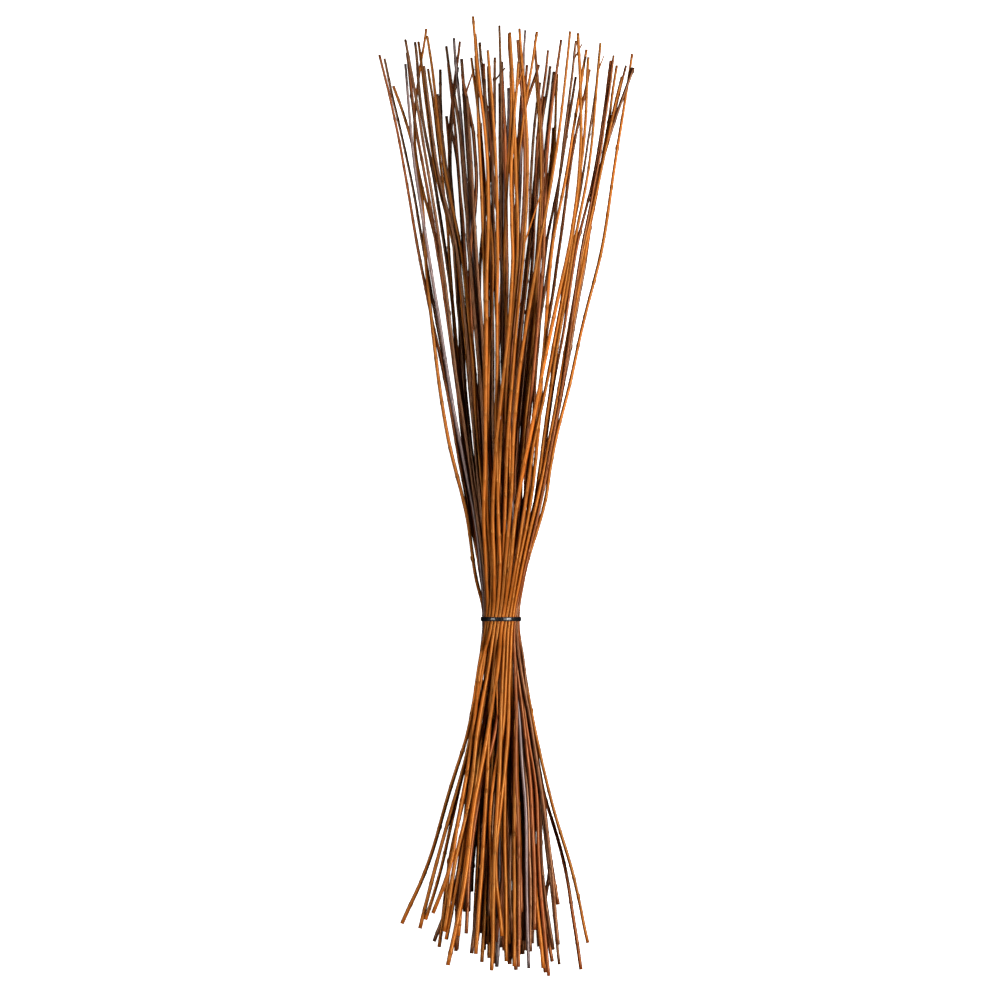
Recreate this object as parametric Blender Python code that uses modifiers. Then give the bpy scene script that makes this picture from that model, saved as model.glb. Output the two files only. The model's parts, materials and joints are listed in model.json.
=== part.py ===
"""A bundle of thin brown willow twigs, pulled in at the waist by one cable tie and lying on its side.

The twigs run along +Y, with their cut butts at -Y and their tips at +Y. +X is to the right seen from
above, +Z is up, and the floor is at Z = 0. Every length below is in millimetres, measured from the
middle of the cable tie, until a shape is made in metres.
"""

from collections import namedtuple
from math import cos, pi, sin

import bpy
import numpy as np
from mathutils import Matrix

MM = 0.001

# The waist, where the cable tie holds the twigs side by side in rings
WAIST_HEIGHT = 60.0
RIM_RADIUS = 20.0
RING_STEP = 4.15
RIM_HALF_LENGTH = 6.0
WAIST_TWIST = 0.05
RINGS_USED = ((0, 1), (1, 1), (2, 4))

# The two flares, the top one at the tips and the bottom one at the butts
TIP_RISE = 88.0
BUTT_RISE = 70.0
HALF_WIDTH_AT = (-400, -300, -200, -90, -6, 6, 60, 130, 250, 400, 540, 700)
HALF_WIDTH = (120, 94, 60, 33, 21, 21, 31, 48, 74, 111, 137, 160)
OUTERMOST_ABOVE = 44.0
OUTERMOST_BELOW = 31.0
LEAST_ROOM = 0.02
FLOOR_SOFTNESS = 6.0

# One twig's thickness, from its butt through the waist to its tip
THICK_AT = (-400, -100, 0, 100, 400, 680)
THICK = (4.5, 4.2, 3.95, 4.1, 3.9, 3.1)
PRESSED_TO = 40.0
PRESSED_FADE = 100.0
TWIG_GAP = 0.35
SLOPE_ALLOWANCE = 1.03

# Where a twig's points lie between its butt and its tip
POINTS_AT = (-290, -200, -120, -50, -RIM_HALF_LENGTH, RIM_HALF_LENGTH, 50, 120, 210, 310, 420, 540)
LAST_STRETCH = 25.0

# The cable tie
TIE_WIDTH = 4.8
TIE_THICK = 1.2
TIE_EDGE = 0.35
TIE_RADIUS = RIM_RADIUS + THICK[2] / 2 + TWIG_GAP
TIE_STEPS = 28
TIE_WELD = 0.05
HEAD_LENGTH = 8.0
HEAD_WIDTH = 7.0
HEAD_DEPTH = 5.0
HEAD_STANDS_OFF = 0.3
HEAD_TURN = 12.0
TAIL_LENGTH = 5.0
TAIL_NARROWER = 0.4

# Settling the twigs side by side, none through another
CHECK_STEP = 8.0
ROUNDS = 500
CLOSE_ENOUGH = 0.02
STRIDE = 1.3
CROWDING = 0.3
SIDEWAYS = 0.35
ORDER_PULL = 0.3
EVENING = 0.08
EVENED_ROUNDS = 300

# A twig's places across the bundle: x and y of its tip, x at each of ABOVE_AT, x at each of BELOW_AT,
# x and y of its butt, its level from -1 on the floor to 1 on top, how thick it is beside the others,
# and its bark
ABOVE_AT = (540, 400, 250, 130)
BELOW_AT = (-90, -200, -300)
Twig = namedtuple("Twig", "tip above below butt level girth bark")
TWIGS = (
    Twig((-124, 613), (-99, -84, -68, -40), (-22, -41, -60), (-64, -352), 0.10, 1.05, "amber"),
    Twig((-140, 649), (-115, -89, -61, -38), (-21, -37, -50), (-52, -382), 0.00, 0.95, "russet"),
    Twig((-134, 645), (-111, -84, -58, -35), (-7, -16, -19), (-19, -381), -0.20, 0.90, "umber"),
    Twig((-110, 638), (-102, -80, -56, -33), (-15, -25, -36), (-37, -336), 0.20, 0.95, "ash"),
    Twig((-108, 651), (-94, -70, -50, -33), (-16, -31, -45), (-51, -380), 0.15, 1.10, "russet"),
    Twig((-86, 680), (-98, -68, -48, -31), (-1, -6, -9), (-13, -381), -0.30, 0.95, "amber"),
    Twig((-110, 666), (-88, -66, -46, -29), (-14, -22, -26), (-34, -384), 0.30, 1.00, "umber"),
    Twig((-47, 666), (-59, -51, -42, -31), (-3, -11, -16), (-17, -375), -0.50, 0.95, "russet"),
    Twig((-63, 580), (-59, -50, -41, -29), (5, 4, 8), (13, -390), -0.60, 1.00, "russet"),
    Twig((-84, 633), (-72, -57, -45, -26), (-1, -7, -13), (-14, -390), 0.00, 0.90, "amber"),
    Twig((-99, 664), (-84, -61, -44, -25), (3, 0, -1), (-1, -378), -0.10, 1.10, "umber"),
    Twig((-70, 634), (-67, -47, -40, -25), (8, 9, 6), (8, -381), -0.70, 1.05, "umber"),
    Twig((-95, 664), (-79, -51, -34, -24), (-10, -21, -28), (-31, -369), 0.10, 1.00, "amber"),
    Twig((-45, 626), (-30, -36, -31, -23), (-5, -14, -21), (-24, -361), 0.20, 1.00, "russet"),
    Twig((-85, 670), (-68, -43, -31, -22), (-9, -13, -16), (-22, -394), 0.30, 1.00, "amber"),
    Twig((-59, 572), (-53, -41, -32, -21), (15, 21, 31), (28, -383), -0.80, 1.00, "umber"),
    Twig((-15, 637), (-11, -26, -24, -19), (13, 17, 22), (23, -375), -0.40, 1.00, "russet"),
    Twig((-32, 690), (-17, -15, -17, -19), (-28, -59, -92), (-114, -350), 0.90, 1.05, "amber"),
    Twig((-61, 640), (-51, -39, -28, -18), (11, 12, 17), (18, -381), -0.20, 0.95, "russet"),
    Twig((-29, 645), (-24, -20, -19, -16), (-25, -50, -80), (-93, -355), 0.85, 1.00, "amber"),
    Twig((-63, 660), (-45, -35, -24, -16), (17, 25, 37), (36, -375), -0.90, 0.95, "umber"),
    Twig((-46, 646), (-38, -31, -21, -15), (17, 23, 27), (25, -387), -0.50, 1.15, "umber"),
    Twig((-54, 668), (-44, -33, -22, -14), (2, -1, -2), (-5, -400), 0.10, 1.05, "ash"),
    Twig((-34, 643), (-22, -9, -14, -12), (-26, -50, -72), (-87, -345), 0.80, 0.95, "amber"),
    Twig((20, 638), (13, 14, -1, -9), (-25, -44, -62), (-78, -337), 1.00, 1.05, "amber"),
    Twig((-20, 640), (-16, -11, -9, -7), (8, 7, 9), (10, -398), -0.30, 1.15, "russet"),
    Twig((-7, 645), (-9, -8, -1, -5), (10, 10, 11), (17, -403), 0.30, 1.00, "umber"),
    Twig((-15, 651), (-7, -3, -5, -3), (-21, -36, -56), (-65, -358), 0.95, 1.05, "amber"),
    Twig((41, 673), (21, 15, 4, -2), (-24, -43, -62), (-71, -376), 0.75, 1.00, "amber"),
    Twig((-2, 681), (0, 2, 3, 2), (-20, -38, -52), (-77, -370), 0.50, 0.95, "umber"),
    Twig((1, 643), (5, 7, 7, 5), (20, 29, 40), (44, -378), -0.60, 1.05, "umber"),
    Twig((44, 639), (17, 14, 7, 5), (22, 33, 42), (46, -381), -0.90, 1.00, "russet"),
    Twig((21, 676), (30, 24, 10, 6), (-18, -35, -48), (-63, -367), 0.90, 1.05, "amber"),
    Twig((9, 674), (10, 4, 9, 9), (27, 40, 41), (51, -407), -0.10, 1.00, "russet"),
    Twig((10, 672), (17, 17, 6, 9), (-15, -31, -44), (-49, -363), 0.80, 1.10, "amber"),
    Twig((79, 673), (65, 38, 17, 10), (-11, -17, -23), (-29, -383), 0.95, 1.00, "amber"),
    Twig((57, 638), (44, 31, 16, 10), (25, 43, 48), (60, -382), -0.80, 1.00, "umber"),
    Twig((54, 654), (41, 35, 20, 14), (22, 33, 32), (32, -350), 0.10, 0.95, "russet"),
    Twig((28, 676), (22, 20, 11, 14), (18, 27, 29), (32, -401), 0.40, 0.90, "ash"),
    Twig((30, 639), (25, 18, 15, 17), (30, 51, 76), (92, -404), -0.50, 1.00, "russet"),
    Twig((61, 631), (52, 40, 23, 17), (28, 45, 55), (49, -337), -1.00, 1.00, "umber"),
    Twig((88, 671), (91, 73, 39, 17), (-8, -29, -42), (-61, -396), 1.00, 1.15, "amber"),
    Twig((39, 664), (46, 44, 32, 21), (24, 35, 38), (38, -357), 0.30, 1.00, "russet"),
    Twig((65, 628), (60, 44, 28, 22), (29, 55, 82), (100, -373), -0.40, 0.95, "amber"),
    Twig((69, 664), (53, 48, 33, 26), (-1, -25, -38), (-40, -360), 0.80, 1.00, "russet"),
    Twig((100, 644), (93, 77, 47, 28), (1, -4, -8), (-11, -402), 0.90, 1.05, "amber"),
    Twig((86, 664), (70, 54, 33, 28), (29, 47, 60), (66, -374), 0.40, 0.95, "umber"),
    Twig((102, 632), (83, 64, 42, 32), (28, 42, 44), (59, -394), 0.10, 1.00, "russet"),
    Twig((98, 653), (78, 56, 46, 33), (6, -9, -11), (-9, -362), 0.80, 1.05, "amber"),
    Twig((144, 637), (119, 91, 65, 38), (26, 46, 60), (66, -329), -0.30, 0.95, "russet"),
    Twig((111, 626), (99, 75, 55, 39), (26, 44, 55), (67, -397), 0.20, 0.85, "umber"),
    Twig((114, 661), (104, 81, 56, 40), (5, 5, 5), (6, -392), 0.70, 1.00, "amber"),
    Twig((139, 623), (120, 90, 65, 40), (10, 1, -5), (1, -363), 0.80, 1.05, "amber"),
    Twig((126, 642), (111, 82, 58, 41), (24, 39, 44), (55, -410), 0.30, 0.95, "russet"),
    Twig((133, 636), (118, 93, 67, 42), (14, 16, 15), (15, -398), 0.60, 1.00, "amber"),
    Twig((129, 647), (114, 88, 66, 43), (16, 19, 20), (20, -398), 0.85, 0.90, "russet"),
    Twig((152, 634), (120, 94, 68, 44), (21, 31, 34), (34, -382), 0.30, 1.15, "umber"),
    Twig((151, 650), (134, 109, 72, 47), (23, 35, 38), (48, -401), 0.30, 1.05, "amber"),
)

# Each bark and the tie, as sRGB colour and roughness
BARKS = {
    "amber": ((0.66, 0.36, 0.13), 0.45),
    "russet": ((0.50, 0.25, 0.10), 0.50),
    "umber": ((0.29, 0.15, 0.08), 0.55),
    "ash": ((0.45, 0.35, 0.30), 0.55),
}
NYLON = ((0.09, 0.10, 0.12), 0.38)


def clear_scene():
    """Empty the scene of what it starts with."""
    for thing in list(bpy.data.objects):
        bpy.data.objects.remove(thing, do_unlink=True)


def collection_named(name):
    collection = bpy.data.collections.new(name)
    bpy.context.scene.collection.children.link(collection)
    return collection


def linear(channel):
    """One sRGB channel as linear light."""
    return channel / 12.92 if channel <= 0.04045 else ((channel + 0.055) / 1.055) ** 2.4


def surface(name, look):
    """A plain material of one colour and roughness."""
    colour, roughness = look
    material = bpy.data.materials.new(name)
    material.use_nodes = True
    shader = material.node_tree.nodes["Principled BSDF"]
    shader.inputs["Base Color"].default_value = (*map(linear, colour), 1.0)
    shader.inputs["Roughness"].default_value = roughness
    shader.inputs["Metallic"].default_value = 0.0
    return material


def smooth_through(known_at, known, wanted_at):
    """Values of a smooth curve through the known ones, whose slope at each is that of its neighbours."""
    known_at = np.asarray(known_at, float)
    known = np.asarray(known, float)
    slope = np.gradient(known, known_at)
    left = np.clip(np.searchsorted(known_at, wanted_at, side="right") - 1, 0, len(known) - 2)
    span = known_at[left + 1] - known_at[left]
    part = (wanted_at - known_at[left]) / span
    rise = part * part * (3 - 2 * part)
    return (
        known[left] * (1 - rise)
        + known[left + 1] * rise
        + slope[left] * span * part * (1 - part) ** 2
        - slope[left + 1] * span * part**2 * (1 - part)
    )


def rim_sites():
    """Places inside the tie: all of its outer ring, and some of the next two rings."""
    sites = []
    for ring, every in RINGS_USED:
        radius = RIM_RADIUS - ring * RING_STEP
        count = int(2 * pi * radius / RING_STEP)
        for place in range(0, count, every):
            angle = 2 * pi * (place + 0.5 * ring) / count
            sites.append((radius * cos(angle), radius * sin(angle)))
    return np.array(sites)


def waist_places(twigs):
    """The place of each twig inside the tie, near where its two ends point to."""
    above = np.array([twig.above[-1] for twig in twigs]) / OUTERMOST_ABOVE
    below = np.array([twig.below[0] for twig in twigs]) / OUTERMOST_BELOW
    across = np.clip(RIM_RADIUS * (above + below) / 2, -RIM_RADIUS, RIM_RADIUS)
    level = np.array([twig.level for twig in twigs])
    wanted = np.stack([across, level * np.sqrt(RIM_RADIUS**2 - across**2)], axis=1)
    sites = rim_sites()
    far = ((wanted[:, None] - sites[None]) ** 2).sum(axis=2)
    place = np.full(len(twigs), -1)
    free = np.ones(len(sites), bool)
    for twig in np.argsort(-np.hypot(*wanted.T)):
        place[twig] = np.argmin(np.where(free, far[twig], np.inf))
        free[place[twig]] = False
    swapped = True
    while swapped:
        swapped = False
        for a in range(len(twigs)):
            for b in range(a):
                now = far[a, place[a]] + far[b, place[b]]
                if far[a, place[b]] + far[b, place[a]] < now - 1e-9:
                    place[a], place[b] = place[b], place[a]
                    swapped = True
    return sites[place]


def thickness(along, girth):
    """Radius of a twig at points along it. Inside the tie a stout twig is pressed to the common size."""
    squeeze = np.clip(1 + (PRESSED_TO - np.abs(along)) / PRESSED_FADE, 0, 1)
    return np.interp(along, THICK_AT, THICK) / 2 * (girth * (1 - squeeze) + min(girth, 1.0) * squeeze)


def heights(across, along, level, radius):
    """Height of a twig over the floor, from its level in the flare's oval, which the floor flattens."""
    half_width = np.interp(along, HALF_WIDTH_AT, HALF_WIDTH)
    rise = np.where(along > 0, TIP_RISE, BUTT_RISE)
    full_width = np.where(along > 0, HALF_WIDTH[-2], HALF_WIDTH[0])
    half_height = RIM_RADIUS + (rise - RIM_RADIUS) * (half_width - RIM_RADIUS) / (full_width - RIM_RADIUS)
    room = np.sqrt(np.clip(1 - (across / half_width) ** 2, LEAST_ROOM, 1))
    raised = WAIST_HEIGHT + level * half_height * room - radius
    return radius + FLOOR_SOFTNESS * np.logaddexp(0, raised / FLOOR_SOFTNESS)


def route(twig, place):
    """A twig's points from butt to tip, as x, y, z rows, with its radius at each.

    The whole bundle is twisted a little where the tie holds it, so that the twigs on top lean to the right.
    """
    butt_y, tip_y = twig.butt[1], twig.tip[1]
    between = [y for y in POINTS_AT if butt_y + LAST_STRETCH < y < tip_y - LAST_STRETCH]
    along = np.array([butt_y, *between, tip_y], float)
    rim = np.array([-RIM_HALF_LENGTH, RIM_HALF_LENGTH])
    leaning = np.sign(rim) * WAIST_TWIST
    held_across = place[0] * np.cos(leaning) + place[1] * np.sin(leaning)
    held_up = place[1] * np.cos(leaning) - place[0] * np.sin(leaning)
    known_at = (butt_y, *reversed(BELOW_AT), *rim, *reversed(ABOVE_AT), tip_y)
    known = (twig.butt[0], *reversed(twig.below), *held_across, *reversed(twig.above), twig.tip[0])
    across = smooth_through(known_at, known, along)
    radius = thickness(along, twig.girth)
    up = heights(across, along, twig.level, radius)
    inside = np.abs(along) <= RIM_HALF_LENGTH
    up[inside] = WAIST_HEIGHT + held_up
    return np.stack([across, along, up], axis=1), radius


def settle(routes):
    """Move the twigs apart, mostly up or down, until none runs through another, the tie or the floor."""
    most = max(len(points) for points, _ in routes)
    lowest = min(points[0, 1] for points, _ in routes)
    highest = max(points[-1, 1] for points, _ in routes)
    checked = np.arange(lowest, highest, CHECK_STEP)
    count = len(routes)
    place = np.zeros((count, most, 2))
    radius_at = np.zeros((count, most))
    share = np.zeros((count, len(checked), most))
    held = np.ones((count, most), bool)
    level = np.array([twig.level for twig in TWIGS])
    for i, (points, radius) in enumerate(routes):
        size = len(points)
        place[i, :size] = points[:, [0, 2]]
        radius_at[i, :size] = radius
        held[i, :size] = np.abs(points[:, 1]) <= RIM_HALF_LENGTH
        for k in range(size):
            share[i, :, k] = np.interp(checked, points[:, 1], np.eye(size)[k], left=0, right=0)
    present = share.sum(axis=2) > 0.5
    thick = np.einsum("nmk,nk->nm", share, radius_at)
    first, second = np.triu_indices(count, 1)
    both = present[first] & present[second]
    need = (thick[first] + thick[second]) * SLOPE_ALLOWANCE + TWIG_GAP
    order = np.where(level[first] >= level[second], 1.0, -1.0)[:, None]
    start = place.copy()
    for turn in range(ROUNDS):
        where = np.einsum("nmk,nkc->nmc", share, place)
        apart = where[first] - where[second]
        distance = np.hypot(apart[..., 0], apart[..., 1])
        short = np.where(both, np.clip(need - distance, 0, None), 0)
        if short.max() < CLOSE_ENOUGH:
            break
        pushed = np.stack([SIDEWAYS * apart[..., 0], apart[..., 1] + ORDER_PULL * order * need], axis=-1)
        pushed *= (short / (np.hypot(pushed[..., 0], pushed[..., 1]) + 1e-9))[..., None]
        moves = np.zeros_like(where)
        np.add.at(moves, first, pushed / 2)
        np.subtract.at(moves, second, pushed / 2)
        weight = np.einsum("nmk,nm->nk", share, (np.abs(moves).sum(axis=2) > 0).astype(float))
        step = np.einsum("nmk,nmc->nkc", share, moves) / (weight + CROWDING)[..., None]
        place += np.where(held[..., None], 0, STRIDE * step)
        if turn < EVENED_ROUNDS:
            shift = place - start
            even = shift.copy()
            even[:, 1:-1] += EVENING * (shift[:, :-2] + shift[:, 2:] - 2 * shift[:, 1:-1])
            place = np.where(held[..., None], place, start + even)
        place[..., 1] = np.maximum(place[..., 1], radius_at)
    for i, (points, _) in enumerate(routes):
        points[:, [0, 2]] = place[i, : len(points)]


def add_twig(name, points, radius, material, collection, parent):
    """A twig as a tapering six-sided tube with cut ends."""
    curve = bpy.data.curves.new(name, "CURVE")
    curve.dimensions = "3D"
    curve.bevel_depth = MM
    curve.bevel_resolution = 1
    curve.use_fill_caps = True
    curve.materials.append(material)
    spline = curve.splines.new("POLY")
    spline.points.add(len(points) - 1)
    for point, (x, y, z), r in zip(spline.points, points, radius):
        point.co = (x * MM, y * MM, z * MM, 1.0)
        point.radius = r
    spline.use_smooth = True
    twig = bpy.data.objects.new(name, curve)
    twig.parent = parent
    collection.objects.link(twig)
    return twig


def add_block(name, size, middle, collection):
    """A box used to build up the cable tie."""
    bpy.ops.mesh.primitive_cube_add(size=1.0)
    block = bpy.context.object
    block.name = name
    block.data.name = name
    block.data.transform(Matrix.Diagonal([side * MM for side in size] + [1.0]))
    block.location = [value * MM for value in middle]
    block.hide_render = True
    block.display_type = "WIRE"
    for linked in list(block.users_collection):
        linked.objects.unlink(block)
    collection.objects.link(block)
    return block


def add_tie(material, collection, cutters, parent):
    """The cable tie: a closed band, its ratchet head underneath and the cut end of its tail."""
    half, outer = TIE_WIDTH / 2, TIE_RADIUS + TIE_THICK
    profile = [
        (outer - TIE_EDGE, half),
        (outer, half - TIE_EDGE),
        (outer, TIE_EDGE - half),
        (outer - TIE_EDGE, -half),
        (TIE_RADIUS, -half),
        (TIE_RADIUS, half),
    ]
    mesh = bpy.data.meshes.new("cable_tie")
    corners = [(x * MM, y * MM, 0.0) for x, y in profile]
    mesh.from_pydata(corners, [(i, (i + 1) % len(corners)) for i in range(len(corners))], [])
    mesh.materials.append(material)
    tie = bpy.data.objects.new("cable_tie", mesh)
    tie.location = (0.0, 0.0, WAIST_HEIGHT * MM)
    tie.rotation_euler = (0.0, (90.0 + HEAD_TURN) * pi / 180, 0.0)
    tie.parent = parent
    collection.objects.link(tie)
    turned = tie.modifiers.new("turned band", "SCREW")
    turned.axis = "Y"
    turned.steps = turned.render_steps = TIE_STEPS
    turned.use_merge_vertices = True
    turned.merge_threshold = TIE_WELD * MM
    head_middle = TIE_RADIUS + HEAD_STANDS_OFF + HEAD_DEPTH / 2
    head = (HEAD_DEPTH, HEAD_WIDTH, HEAD_LENGTH)
    tail_reach = HEAD_LENGTH / 2 + TAIL_LENGTH
    tail = (TIE_THICK, TIE_WIDTH - TAIL_NARROWER, tail_reach)
    tail_middle = (head_middle + HEAD_STANDS_OFF, 0, tail_reach / 2)
    blocks = (("ratchet head", head, (head_middle, 0, 0)), ("cut tail", tail, tail_middle))
    for name, size, middle in blocks:
        block = add_block(name, size, middle, cutters)
        block.parent = tie
        joined = tie.modifiers.new(name, "BOOLEAN")
        joined.operation = "UNION"
        joined.object = block
    return tie


def set_on_floor(parent, parts):
    """Shift the bundle so that the middle of its underside is the origin."""
    bpy.context.view_layer.update()
    graph = bpy.context.evaluated_depsgraph_get()
    corners = []
    for part in parts:
        evaluated = part.evaluated_get(graph)
        mesh = evaluated.to_mesh()
        corners += [evaluated.matrix_world @ vertex.co for vertex in mesh.vertices]
        evaluated.to_mesh_clear()
    corners = np.array(corners)
    low, high = corners.min(axis=0), corners.max(axis=0)
    parent.location = (-(low[0] + high[0]) / 2, -(low[1] + high[1]) / 2, -low[2])


def main():
    clear_scene()
    bundle = collection_named("twig_bundle")
    cutters = collection_named("cutters")
    parent = bpy.data.objects.new("bundle", None)
    bundle.objects.link(parent)
    barks = {name: surface("willow bark " + name, look) for name, look in BARKS.items()}
    routes = [route(twig, place) for twig, place in zip(TWIGS, waist_places(TWIGS))]
    settle(routes)
    parts = []
    for number, (twig, (points, radius)) in enumerate(zip(TWIGS, routes), start=1):
        name = f"twig_{number:02d}"
        parts.append(add_twig(name, points, radius, barks[twig.bark], bundle, parent))
    parts.append(add_tie(surface("black nylon", NYLON), bundle, cutters, parent))
    set_on_floor(parent, parts)


main()
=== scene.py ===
import json
from collections import namedtuple
from math import cos, pi, sin

import bmesh
import bpy
import numpy as np
from bpy.props import FloatProperty, FloatVectorProperty, IntProperty
from mathutils import Matrix, Vector


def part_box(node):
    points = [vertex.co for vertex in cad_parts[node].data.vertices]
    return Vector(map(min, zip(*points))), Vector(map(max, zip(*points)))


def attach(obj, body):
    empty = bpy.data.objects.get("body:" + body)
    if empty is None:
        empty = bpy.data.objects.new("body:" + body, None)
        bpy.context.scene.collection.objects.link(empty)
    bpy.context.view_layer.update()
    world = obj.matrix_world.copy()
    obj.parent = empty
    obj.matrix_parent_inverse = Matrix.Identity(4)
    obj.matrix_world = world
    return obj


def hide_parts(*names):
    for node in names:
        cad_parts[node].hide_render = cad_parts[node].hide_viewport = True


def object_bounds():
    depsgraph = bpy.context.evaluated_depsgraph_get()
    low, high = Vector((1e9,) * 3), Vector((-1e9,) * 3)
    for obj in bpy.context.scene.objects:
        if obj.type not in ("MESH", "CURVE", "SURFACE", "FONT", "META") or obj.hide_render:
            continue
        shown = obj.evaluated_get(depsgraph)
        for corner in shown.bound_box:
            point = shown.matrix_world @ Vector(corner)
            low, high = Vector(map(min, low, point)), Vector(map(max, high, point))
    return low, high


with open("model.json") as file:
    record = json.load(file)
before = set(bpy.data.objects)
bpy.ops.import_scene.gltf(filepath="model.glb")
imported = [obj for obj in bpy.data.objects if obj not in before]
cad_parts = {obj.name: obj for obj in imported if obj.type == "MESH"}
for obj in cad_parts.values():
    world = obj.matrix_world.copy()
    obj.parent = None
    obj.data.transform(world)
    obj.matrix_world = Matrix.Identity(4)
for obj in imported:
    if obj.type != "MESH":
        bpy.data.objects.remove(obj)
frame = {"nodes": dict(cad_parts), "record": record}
CAD_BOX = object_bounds()

bl_info = {
    "name": "Bundle of willow twigs",
    "version": (1, 0, 0),
    "blender": (4, 5, 0),
    "location": "3D View > Sidebar > Twigs",
    "description": "Dresses the solid model of a tied bundle of willow twigs",
    "category": "Object",
}

MM = 0.001

# The tie's band turns about +Y through this point. Its head hangs below the twigs, so the height comes
# from the band's top.
TIE_LOW, TIE_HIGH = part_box("cable_tie")
TIE_OUTER = (TIE_HIGH.x - TIE_LOW.x) / 2
TIE = Vector(((TIE_LOW.x + TIE_HIGH.x) / 2, (TIE_LOW.y + TIE_HIGH.y) / 2, TIE_HIGH.z - TIE_OUTER))

# The bundle's outline, for the twigs inside it: half its width at places along it, from the tie
HALF_WIDTH_AT = np.array((-400, -300, -200, -90, -6, 6, 60, 130, 250, 400, 540, 700)) * MM
HALF_WIDTH = np.array((120, 94, 60, 33, 21, 21, 31, 48, 74, 111, 137, 160)) * MM

# How high each flare rises over the waist's middle where it is widest
TIP_RISE = 88.0 * MM
BUTT_RISE = 70.0 * MM

# The waist: its outer ring's radius, a twig's room in a ring, how far from the tie the twigs are held
# straight, how much further they aren't moved apart, and how far round they are twisted, in radians
RIM = 20.0 * MM
RING_STEP = 4.15 * MM
RIM_COUNT = int(2 * pi * RIM / RING_STEP)
HELD = 6.0 * MM
HELD_ROOM = 4 * MM
TWIST = 0.05

# Length between a line's places, and the gap along a solid twig that parts one of its rings from the next
STATION = 10 * MM
RINGS_APART = 4 * MM

# Wander: full this far beyond the tie and this far from each end, with its turning points this far apart
WANDERS_BEYOND = 140 * MM
STEADY_END = 40 * MM
WANDER_STEP = 80 * MM

# Moving twigs apart: what counts as clear, the share that goes sideways, a lift for two on one level, how
# much of the move a loose twig makes from a firm one and from a loose one, and how much each line is evened
CLEAR = 0.05 * MM
SIDEWAYS = 0.35
LIFT = 0.02
FROM_FIRM = 0.9
FROM_LOOSE = 0.5
EVENING = 0.2
TINY = 1e-9

# Lanes for the inner twigs: the share of the outline's width that they spread over, and how far off a lane
# may be before one that is used already is taken
LANES_SHARE = 0.92
LANE_USED = 5 * MM

# An inner twig: how much shorter than its neighbours it is at its butt and tip, in millimetres, how soon it
# leaves its ring, how its thickness changes along it and in the tie, how softly it meets the floor, and the
# least part of the bundle's height that is left for it at the outline
BUTT_SHORTER = (4, 42)
TIP_SHORTER = (6, 75)
LEAVES_RING = 95 * MM
TAPER_AT = (-0.4, 0, 0.4, 0.68)
TAPER = (1.14, 1, 1, 0.8)
PRESSED_WITHIN = 40 * MM
PRESSED_RADIUS = 1.88 * MM
FLOOR_SOFTNESS = 6 * MM
LEAST_ROOM = 0.02

# Nodes: how unevenly they are spaced, how many are strong, how much stronger these and a knot are, how
# strong one is that keeps its bud, how far round each bud is from the last (two fifths of a turn), and how
# much room a bud needs, beside its twig's radius
NODE_SPACING = (0.55, 1.45)
STRONG_NODES = 5
STRONG_NODE = 0.7
KNOT = 1.6
KEEPS_BUD = 2.2
BUD_TURN = 2.513
BUD_ROOM = 1.25

# A twig's thickness is uneven by this share, over this length
UNEVEN = 0.03
UNEVEN_STEP = 0.05

# A twig's cut end: how long its worn rim is, and its radius there beside the twig's
CUT_RIM = 0.35 * MM
CUT_RADIUS = 0.86

# A side shoot's rings: where they are, how thick and how dark, from its root to its end
SHOOT_AT = (0, 0.08, 0.3, 0.6, 0.9, 0.985, 1.0)
SHOOT_THICK = (1.3, 1.15, 1.0, 0.9, 0.85, 0.85, 0.7)
SHOOT_DARK = (1.0, 0.6, 0.1, 0.0, 0.3, 0.8, 1.0)
SHOOT_BOW = 0.06

# How far along the grain each twig's pattern is from the next twig's, and where the inner twigs' ones start
GRAIN_STEP = 1.13
INNER_GRAIN = 70

# The share of each bark among the inner twigs
INNER_BARKS = {"amber": 0.16, "russet": 0.4, "umber": 0.38, "ash": 0.06}

# The tie's head and tail: how far the head is out from the band's inside, its rounded edge, how far its slot
# is out from the tail, how deep and sloping the teeth are, how much narrower than the band the tail is and
# how much wider the slot, and the angle from which an edge looks sharp
HEAD_STANDS_OFF = 0.3 * MM
HEAD_EDGE = 0.7 * MM
SLOT_OUT = 0.5 * MM
TOOTH_DEPTH = 0.3 * MM
TOOTH_SLOPE = 0.1 * MM
TAIL_NARROWER = 0.4 * MM
SLOT_WIDER = 0.2 * MM
SHARP_FROM = 35 * pi / 180

# The stage: half the floor's width, how far it is under the twigs, each softbox's width and distance, the
# camera's sensor in millimetres, and the picture's middle from the tie
FLOOR_HALF = 30.0
FLOOR_BELOW = 0.2 * MM
SOFTBOX_WIDTH = 1.2
SOFTBOX_AWAY = 3.6
SENSOR_WIDTH = 36.0
PICTURE_MIDDLE = (-1.15 * MM, 136.85 * MM)

Line = namedtuple("Line", "along across up radius")
Look = namedtuple("Look", "bark tone")

# How light a solid twig's bark is beside others of its kind, in doublings, where it stands out
TONES = {
    1: 0.1, 13: 0.2, 18: 0.4, 20: 0.15, 24: 0.3, 25: 0.3, 28: 0.3, 29: 0.15, 33: 0.3, 35: 0.2, 36: 0.2,
    40: 0.35, 42: 0.5, 46: 0.25, 47: 0.4, 49: 0.55, 52: 0.1, 53: 0.3, 54: 0.45, 55: 0.2, 57: 0.5, 58: 0.5,
}

# Knots that stand out, as twig number and place along it from the tie
KNOTS = ((55, -246), (56, -274), (24, 226), (28, 203), (18, 344), (14, 333), (49, 359), (13, 300))

# Side shoots: twig number, where it leaves that twig, where it ends (x and y from the tie), thickness
SHOOTS = (
    (14, 604, (-31, 632), 2.2),
    (27, 618, (5, 633), 2.0),
    (25, 606, (25, 629), 2.0),
    (47, 642, (93, 660), 1.8),
    (52, 628, (118, 646), 1.8),
    (33, 428, (47, 492), 1.8),
    (42, -66, (-4, -110), 1.7),
    (19, -300, (5, -337), 2.2),
)


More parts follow.
